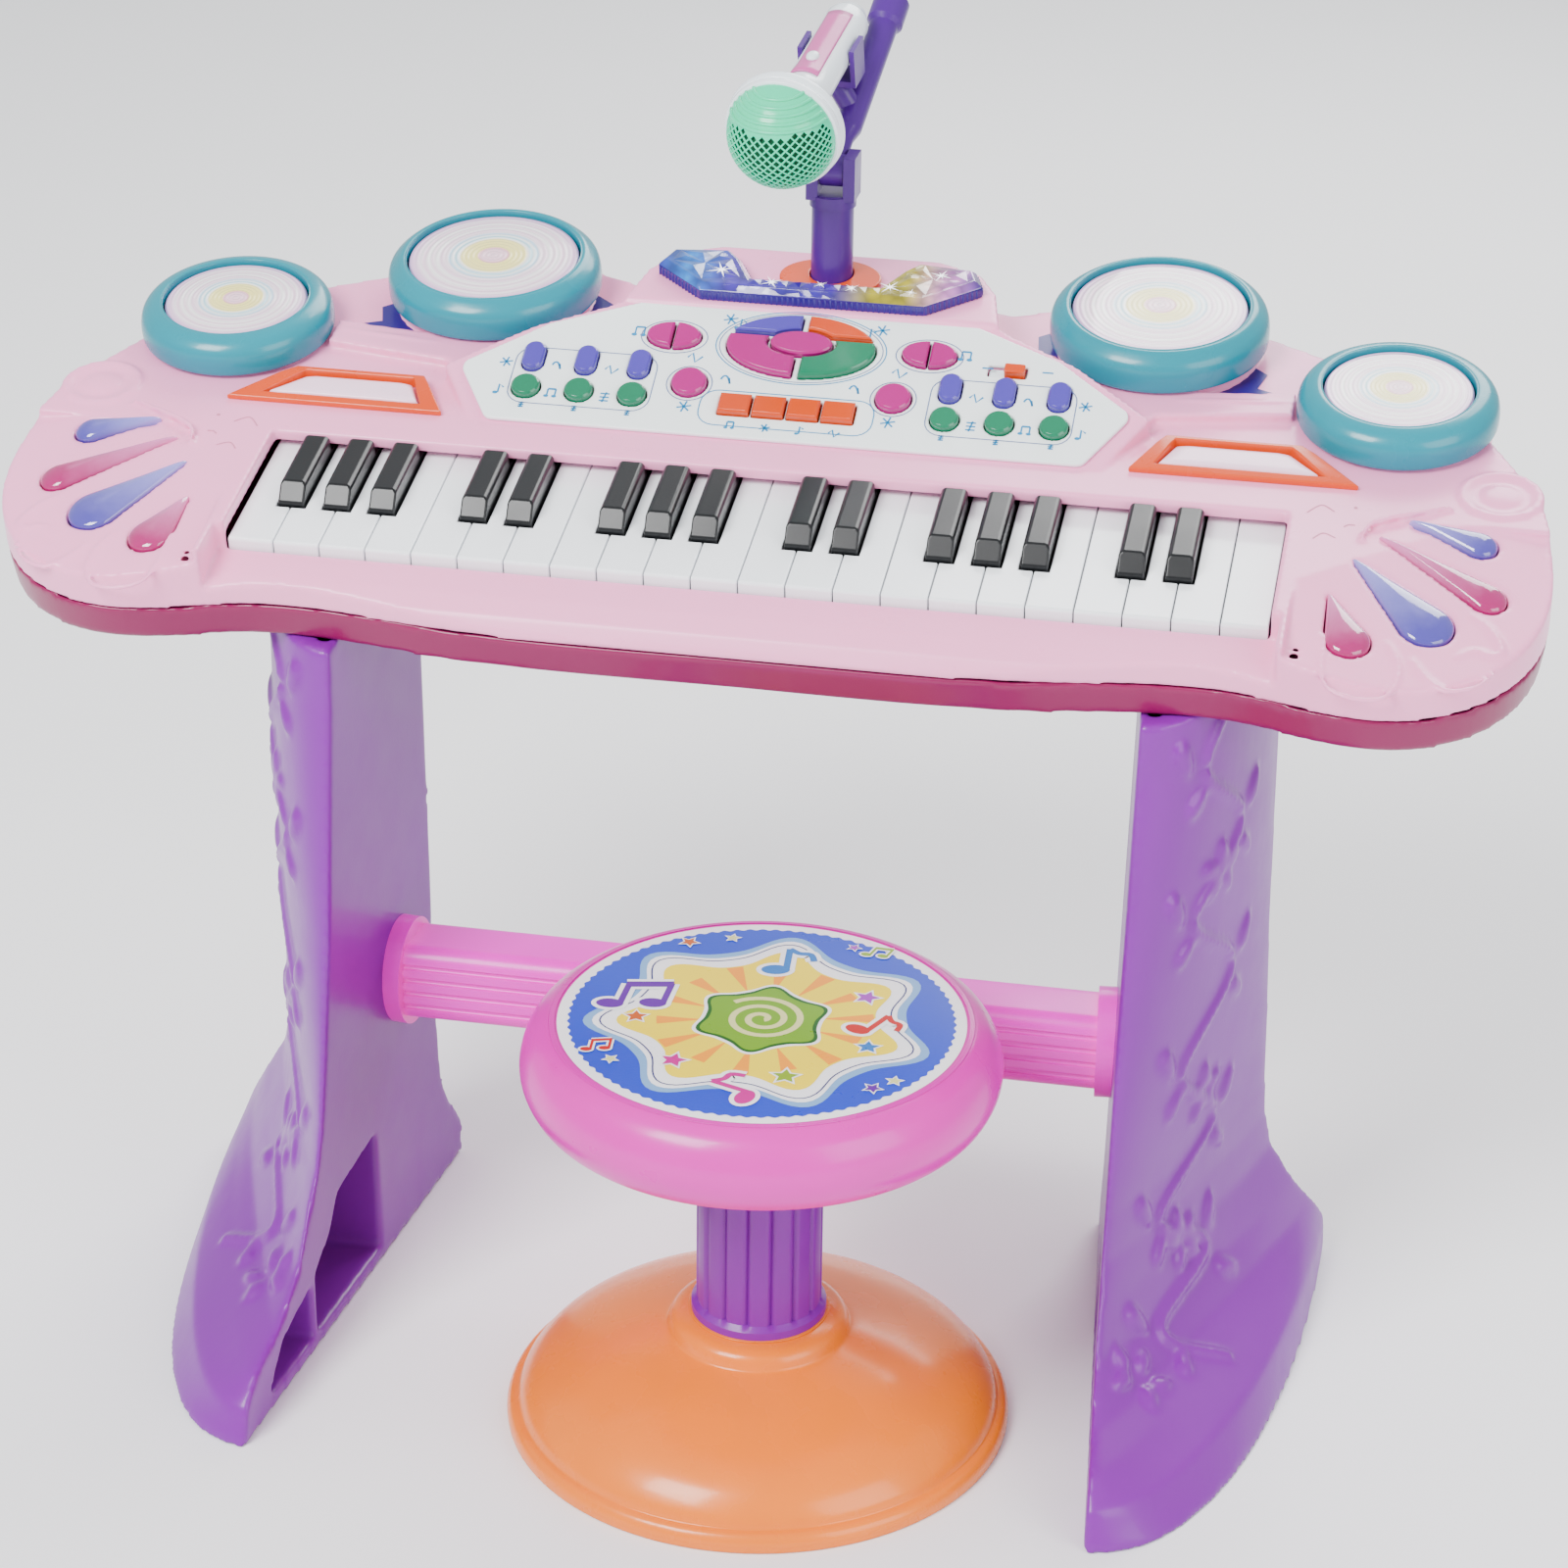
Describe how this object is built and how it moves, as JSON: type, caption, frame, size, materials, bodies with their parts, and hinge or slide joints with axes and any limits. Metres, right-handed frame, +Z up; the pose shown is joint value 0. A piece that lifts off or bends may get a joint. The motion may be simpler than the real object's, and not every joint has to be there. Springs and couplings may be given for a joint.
{
  "type": "toy electronic keyboard",
  "caption": "Child's electronic keyboard on two legs with drum pads, light bar and clip-on microphone, with a matching round stool.",
  "frame": {"origin": "on the floor, under the centre of the whole set's bounding box", "axes": "+X to the player's right along the keys, +Y away from the player, +Z up"},
  "size_m": [0.6068, 0.4171, 0.4901],
  "materials": {
    "shell_pink": "gloss",
    "shell_magenta": "gloss",
    "panel_white": "gloss",
    "rim_teal": "gloss",
    "trim_orange": "gloss",
    "jewel": "clear gloss",
    "leg_purple": "gloss",
    "bar_pink": "gloss",
    "circuit": "matt",
    "steel": "bright",
    "post_violet": "satin",
    "mic_body": "gloss",
    "seat_pink": "gloss",
    "stool_base": "gloss",
    "gel": "clear gloss",
    "buttons": "gloss",
    "key_white": "gloss",
    "key_black": "gloss",
    "lens": "clear gloss"
  },
  "bodies": {
    "root": {"upper_shell": "shell_pink", "lower_shell": "shell_magenta", "control_panel": "panel_white", "drum_rims": "rim_teal", "orange_trims": "trim_orange", "light_bar": "jewel", "leg_left": "leg_purple", "leg_right": "leg_purple", "crossbar": "bar_pink", "electronics": "circuit", "screws": "steel", "mic_post": "post_violet"},
    "white_key_01": {"white_key_01": "key_white"},
    "white_key_02": {"white_key_02": "key_white"},
    "white_key_03": {"white_key_03": "key_white"},
    "white_key_04": {"white_key_04": "key_white"},
    "white_key_05": {"white_key_05": "key_white"},
    "white_key_06": {"white_key_06": "key_white"},
    "white_key_07": {"white_key_07": "key_white"},
    "white_key_08": {"white_key_08": "key_white"},
    "white_key_09": {"white_key_09": "key_white"},
    "white_key_10": {"white_key_10": "key_white"},
    "white_key_11": {"white_key_11": "key_white"},
    "white_key_12": {"white_key_12": "key_white"},
    "white_key_13": {"white_key_13": "key_white"},
    "white_key_14": {"white_key_14": "key_white"},
    "white_key_15": {"white_key_15": "key_white"},
    "white_key_16": {"white_key_16": "key_white"},
    "white_key_17": {"white_key_17": "key_white"},
    "white_key_18": {"white_key_18": "key_white"},
    "white_key_19": {"white_key_19": "key_white"},
    "white_key_20": {"white_key_20": "key_white"},
    "white_key_21": {"white_key_21": "key_white"},
    "white_key_22": {"white_key_22": "key_white"},
    "black_key_01": {"black_key_01": "key_black"},
    "black_key_02": {"black_key_02": "key_black"},
    "black_key_03": {"black_key_03": "key_black"},
    "black_key_04": {"black_key_04": "key_black"},
    "black_key_05": {"black_key_05": "key_black"},
    "black_key_06": {"black_key_06": "key_black"},
    "black_key_07": {"black_key_07": "key_black"},
    "black_key_08": {"black_key_08": "key_black"},
    "black_key_09": {"black_key_09": "key_black"},
    "black_key_10": {"black_key_10": "key_black"},
    "black_key_11": {"black_key_11": "key_black"},
    "black_key_12": {"black_key_12": "key_black"},
    "black_key_13": {"black_key_13": "key_black"},
    "black_key_14": {"black_key_14": "key_black"},
    "black_key_15": {"black_key_15": "key_black"},
    "drum_pad_1": {"drum_pad_1": "lens"},
    "drum_pad_2": {"drum_pad_2": "lens"},
    "drum_pad_3": {"drum_pad_3": "lens"},
    "drum_pad_4": {"drum_pad_4": "lens"},
    "petal_buttons": {"petal_buttons": "gel"},
    "panel_buttons": {"panel_buttons": "buttons"},
    "power_switch": {"power_switch": "trim_orange"},
    "mic_holder": {"mic_holder": "post_violet"},
    "microphone": {"microphone": "mic_body"},
    "stool": {"stool_seat": "seat_pink", "stool_pedestal": "stool_base"}
  },
  "joints": [
    {"name": "white_key_01_press", "type": "hinge", "parent": "root", "child": "white_key_01", "pos_m": [0, 0.04265, 0.33465], "axis": [1, 0, 0], "range_deg": [0, 2.5], "stiffness_Nm_per_rad": 0.4, "springref_deg": -5.73},
    {"name": "white_key_02_press", "type": "hinge", "parent": "root", "child": "white_key_02", "pos_m": [0, 0.04265, 0.33465], "axis": [1, 0, 0], "range_deg": [0, 2.5], "stiffness_Nm_per_rad": 0.4, "springref_deg": -5.73},
    {"name": "white_key_03_press", "type": "hinge", "parent": "root", "child": "white_key_03", "pos_m": [0, 0.04265, 0.33465], "axis": [1, 0, 0], "range_deg": [0, 2.5], "stiffness_Nm_per_rad": 0.4, "springref_deg": -5.73},
    {"name": "white_key_04_press", "type": "hinge", "parent": "root", "child": "white_key_04", "pos_m": [0, 0.04265, 0.33465], "axis": [1, 0, 0], "range_deg": [0, 2.5], "stiffness_Nm_per_rad": 0.4, "springref_deg": -5.73},
    {"name": "white_key_05_press", "type": "hinge", "parent": "root", "child": "white_key_05", "pos_m": [0, 0.04265, 0.33465], "axis": [1, 0, 0], "range_deg": [0, 2.5], "stiffness_Nm_per_rad": 0.4, "springref_deg": -5.73},
    {"name": "white_key_06_press", "type": "hinge", "parent": "root", "child": "white_key_06", "pos_m": [0, 0.04265, 0.33465], "axis": [1, 0, 0], "range_deg": [0, 2.5], "stiffness_Nm_per_rad": 0.4, "springref_deg": -5.73},
    {"name": "white_key_07_press", "type": "hinge", "parent": "root", "child": "white_key_07", "pos_m": [0, 0.04265, 0.33465], "axis": [1, 0, 0], "range_deg": [0, 2.5], "stiffness_Nm_per_rad": 0.4, "springref_deg": -5.73},
    {"name": "white_key_08_press", "type": "hinge", "parent": "root", "child": "white_key_08", "pos_m": [0, 0.04265, 0.33465], "axis": [1, 0, 0], "range_deg": [0, 2.5], "stiffness_Nm_per_rad": 0.4, "springref_deg": -5.73},
    {"name": "white_key_09_press", "type": "hinge", "parent": "root", "child": "white_key_09", "pos_m": [0, 0.04265, 0.33465], "axis": [1, 0, 0], "range_deg": [0, 2.5], "stiffness_Nm_per_rad": 0.4, "springref_deg": -5.73},
    {"name": "white_key_10_press", "type": "hinge", "parent": "root", "child": "white_key_10", "pos_m": [0, 0.04265, 0.33465], "axis": [1, 0, 0], "range_deg": [0, 2.5], "stiffness_Nm_per_rad": 0.4, "springref_deg": -5.73},
    {"name": "white_key_11_press", "type": "hinge", "parent": "root", "child": "white_key_11", "pos_m": [0, 0.04265, 0.33465], "axis": [1, 0, 0], "range_deg": [0, 2.5], "stiffness_Nm_per_rad": 0.4, "springref_deg": -5.73},
    {"name": "white_key_12_press", "type": "hinge", "parent": "root", "child": "white_key_12", "pos_m": [0, 0.04265, 0.33465], "axis": [1, 0, 0], "range_deg": [0, 2.5], "stiffness_Nm_per_rad": 0.4, "springref_deg": -5.73},
    {"name": "white_key_13_press", "type": "hinge", "parent": "root", "child": "white_key_13", "pos_m": [0, 0.04265, 0.33465], "axis": [1, 0, 0], "range_deg": [0, 2.5], "stiffness_Nm_per_rad": 0.4, "springref_deg": -5.73},
    {"name": "white_key_14_press", "type": "hinge", "parent": "root", "child": "white_key_14", "pos_m": [0, 0.04265, 0.33465], "axis": [1, 0, 0], "range_deg": [0, 2.5], "stiffness_Nm_per_rad": 0.4, "springref_deg": -5.73},
    {"name": "white_key_15_press", "type": "hinge", "parent": "root", "child": "white_key_15", "pos_m": [0, 0.04265, 0.33465], "axis": [1, 0, 0], "range_deg": [0, 2.5], "stiffness_Nm_per_rad": 0.4, "springref_deg": -5.73},
    {"name": "white_key_16_press", "type": "hinge", "parent": "root", "child": "white_key_16", "pos_m": [0, 0.04265, 0.33465], "axis": [1, 0, 0], "range_deg": [0, 2.5], "stiffness_Nm_per_rad": 0.4, "springref_deg": -5.73},
    {"name": "white_key_17_press", "type": "hinge", "parent": "root", "child": "white_key_17", "pos_m": [0, 0.04265, 0.33465], "axis": [1, 0, 0], "range_deg": [0, 2.5], "stiffness_Nm_per_rad": 0.4, "springref_deg": -5.73},
    {"name": "white_key_18_press", "type": "hinge", "parent": "root", "child": "white_key_18", "pos_m": [0, 0.04265, 0.33465], "axis": [1, 0, 0], "range_deg": [0, 2.5], "stiffness_Nm_per_rad": 0.4, "springref_deg": -5.73},
    {"name": "white_key_19_press", "type": "hinge", "parent": "root", "child": "white_key_19", "pos_m": [0, 0.04265, 0.33465], "axis": [1, 0, 0], "range_deg": [0, 2.5], "stiffness_Nm_per_rad": 0.4, "springref_deg": -5.73},
    {"name": "white_key_20_press", "type": "hinge", "parent": "root", "child": "white_key_20", "pos_m": [0, 0.04265, 0.33465], "axis": [1, 0, 0], "range_deg": [0, 2.5], "stiffness_Nm_per_rad": 0.4, "springref_deg": -5.73},
    {"name": "white_key_21_press", "type": "hinge", "parent": "root", "child": "white_key_21", "pos_m": [0, 0.04265, 0.33465], "axis": [1, 0, 0], "range_deg": [0, 2.5], "stiffness_Nm_per_rad": 0.4, "springref_deg": -5.73},
    {"name": "white_key_22_press", "type": "hinge", "parent": "root", "child": "white_key_22", "pos_m": [0, 0.04265, 0.33465], "axis": [1, 0, 0], "range_deg": [0, 2.5], "stiffness_Nm_per_rad": 0.4, "springref_deg": -5.73},
    {"name": "black_key_01_press", "type": "hinge", "parent": "root", "child": "black_key_01", "pos_m": [0, 0.04265, 0.33465], "axis": [1, 0, 0], "range_deg": [0, 2.5], "stiffness_Nm_per_rad": 0.4, "springref_deg": -5.73},
    {"name": "black_key_02_press", "type": "hinge", "parent": "root", "child": "black_key_02", "pos_m": [0, 0.04265, 0.33465], "axis": [1, 0, 0], "range_deg": [0, 2.5], "stiffness_Nm_per_rad": 0.4, "springref_deg": -5.73},
    {"name": "black_key_03_press", "type": "hinge", "parent": "root", "child": "black_key_03", "pos_m": [0, 0.04265, 0.33465], "axis": [1, 0, 0], "range_deg": [0, 2.5], "stiffness_Nm_per_rad": 0.4, "springref_deg": -5.73},
    {"name": "black_key_04_press", "type": "hinge", "parent": "root", "child": "black_key_04", "pos_m": [0, 0.04265, 0.33465], "axis": [1, 0, 0], "range_deg": [0, 2.5], "stiffness_Nm_per_rad": 0.4, "springref_deg": -5.73},
    {"name": "black_key_05_press", "type": "hinge", "parent": "root", "child": "black_key_05", "pos_m": [0, 0.04265, 0.33465], "axis": [1, 0, 0], "range_deg": [0, 2.5], "stiffness_Nm_per_rad": 0.4, "springref_deg": -5.73},
    {"name": "black_key_06_press", "type": "hinge", "parent": "root", "child": "black_key_06", "pos_m": [0, 0.04265, 0.33465], "axis": [1, 0, 0], "range_deg": [0, 2.5], "stiffness_Nm_per_rad": 0.4, "springref_deg": -5.73},
    {"name": "black_key_07_press", "type": "hinge", "parent": "root", "child": "black_key_07", "pos_m": [0, 0.04265, 0.33465], "axis": [1, 0, 0], "range_deg": [0, 2.5], "stiffness_Nm_per_rad": 0.4, "springref_deg": -5.73},
    {"name": "black_key_08_press", "type": "hinge", "parent": "root", "child": "black_key_08", "pos_m": [0, 0.04265, 0.33465], "axis": [1, 0, 0], "range_deg": [0, 2.5], "stiffness_Nm_per_rad": 0.4, "springref_deg": -5.73},
    {"name": "black_key_09_press", "type": "hinge", "parent": "root", "child": "black_key_09", "pos_m": [0, 0.04265, 0.33465], "axis": [1, 0, 0], "range_deg": [0, 2.5], "stiffness_Nm_per_rad": 0.4, "springref_deg": -5.73},
    {"name": "black_key_10_press", "type": "hinge", "parent": "root", "child": "black_key_10", "pos_m": [0, 0.04265, 0.33465], "axis": [1, 0, 0], "range_deg": [0, 2.5], "stiffness_Nm_per_rad": 0.4, "springref_deg": -5.73},
    {"name": "black_key_11_press", "type": "hinge", "parent": "root", "child": "black_key_11", "pos_m": [0, 0.04265, 0.33465], "axis": [1, 0, 0], "range_deg": [0, 2.5], "stiffness_Nm_per_rad": 0.4, "springref_deg": -5.73},
    {"name": "black_key_12_press", "type": "hinge", "parent": "root", "child": "black_key_12", "pos_m": [0, 0.04265, 0.33465], "axis": [1, 0, 0], "range_deg": [0, 2.5], "stiffness_Nm_per_rad": 0.4, "springref_deg": -5.73},
    {"name": "black_key_13_press", "type": "hinge", "parent": "root", "child": "black_key_13", "pos_m": [0, 0.04265, 0.33465], "axis": [1, 0, 0], "range_deg": [0, 2.5], "stiffness_Nm_per_rad": 0.4, "springref_deg": -5.73},
    {"name": "black_key_14_press", "type": "hinge", "parent": "root", "child": "black_key_14", "pos_m": [0, 0.04265, 0.33465], "axis": [1, 0, 0], "range_deg": [0, 2.5], "stiffness_Nm_per_rad": 0.4, "springref_deg": -5.73},
    {"name": "black_key_15_press", "type": "hinge", "parent": "root", "child": "black_key_15", "pos_m": [0, 0.04265, 0.33465], "axis": [1, 0, 0], "range_deg": [0, 2.5], "stiffness_Nm_per_rad": 0.4, "springref_deg": -5.73},
    {"name": "drum_pad_1_press", "type": "slide", "parent": "root", "child": "drum_pad_1", "axis": [0, 0.1959, -0.9806], "range_m": [0, 0.0015], "stiffness_N_per_m": 2000, "springref_m": -0.0015},
    {"name": "drum_pad_2_press", "type": "slide", "parent": "root", "child": "drum_pad_2", "axis": [0, 0.1959, -0.9806], "range_m": [0, 0.0015], "stiffness_N_per_m": 2000, "springref_m": -0.0015},
    {"name": "drum_pad_3_press", "type": "slide", "parent": "root", "child": "drum_pad_3", "axis": [0, 0.1959, -0.9806], "range_m": [0, 0.0015], "stiffness_N_per_m": 2000, "springref_m": -0.0015},
    {"name": "drum_pad_4_press", "type": "slide", "parent": "root", "child": "drum_pad_4", "axis": [0, 0.1959, -0.9806], "range_m": [0, 0.0015], "stiffness_N_per_m": 2000, "springref_m": -0.0015},
    {"name": "petal_press", "type": "slide", "parent": "root", "child": "petal_buttons", "axis": [0, 0.1959, -0.9806], "range_m": [0, 0.0012], "stiffness_N_per_m": 2500, "springref_m": -0.0015},
    {"name": "panel_button_press", "type": "slide", "parent": "root", "child": "panel_buttons", "axis": [0, 0.4571, -0.8894], "range_m": [0, 0.0015], "stiffness_N_per_m": 2000, "springref_m": -0.0015},
    {"name": "power_slide", "type": "slide", "parent": "root", "child": "power_switch", "axis": [-1, 0, 0], "range_m": [0, 0.0055]},
    {"name": "mic_tilt", "type": "hinge", "parent": "root", "child": "mic_holder", "pos_m": [0.004, 0.12954, 0.433], "axis": [1, 0, 0], "range_deg": [-15, 25]},
    {"name": "mic_lift", "type": "slide", "parent": "mic_holder", "child": "microphone", "axis": [-0.0245, -0.2328, 0.9722], "range_m": [0, 0.06]},
    {"name": "stool_pull", "type": "slide", "parent": "root", "child": "stool", "axis": [0, 1, 0], "range_m": [-0.15, 0.03]}
  ]
}
